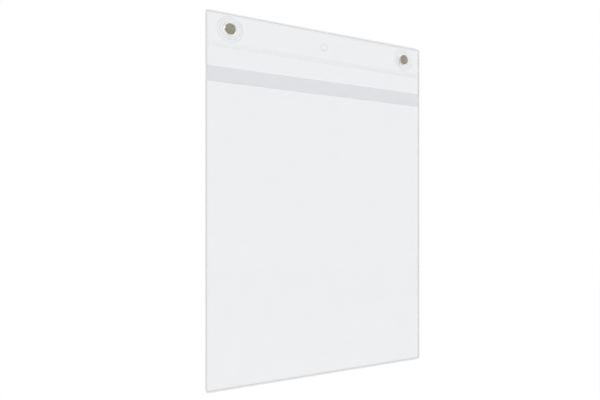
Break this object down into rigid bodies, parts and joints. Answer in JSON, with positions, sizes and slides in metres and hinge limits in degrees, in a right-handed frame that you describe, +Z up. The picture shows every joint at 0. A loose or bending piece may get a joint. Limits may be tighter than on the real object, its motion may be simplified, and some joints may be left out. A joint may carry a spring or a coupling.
{
  "type": "magnetic document pocket",
  "caption": "Clear film document pocket with a welded edge, a rain flap over its mouth, and round magnets in clear snap housings that hold it on a steel surface.",
  "frame": {"origin": "middle of the pocket's box, at its bottom edge", "axes": "+Z up the pocket, +Y into the wall behind it, +X to the viewer's right as the front is seen"},
  "size_m": [0.23, 0.0048, 0.34],
  "materials": {
    "clear_film": "clear soft film, slightly grey",
    "clear_plastic": "clear moulded plastic",
    "nickel": "dull nickel plating"
  },
  "bodies": {
    "pocket": {"back_sheet": "clear_film", "front_sheet": "clear_film", "header_sheet": "clear_film", "seam_weld": "clear_film", "top_edge_weld": "clear_film", "bottom_edge_weld": "clear_film", "left_edge_weld": "clear_film", "right_edge_weld": "clear_film", "left_magnet_housing": "clear_plastic", "right_magnet_housing": "clear_plastic", "left_retaining_ring": "clear_plastic", "right_retaining_ring": "clear_plastic", "left_magnet": "nickel", "right_magnet": "nickel"},
    "flap": {"rain_flap": "clear_film"}
  },
  "joints": [
    {"name": "flap_lift", "type": "hinge", "parent": "pocket", "child": "flap", "pos_m": [0, 0.0002, 0.3069], "axis": [-1, 0, 0], "range_deg": [0, 150]}
  ]
}
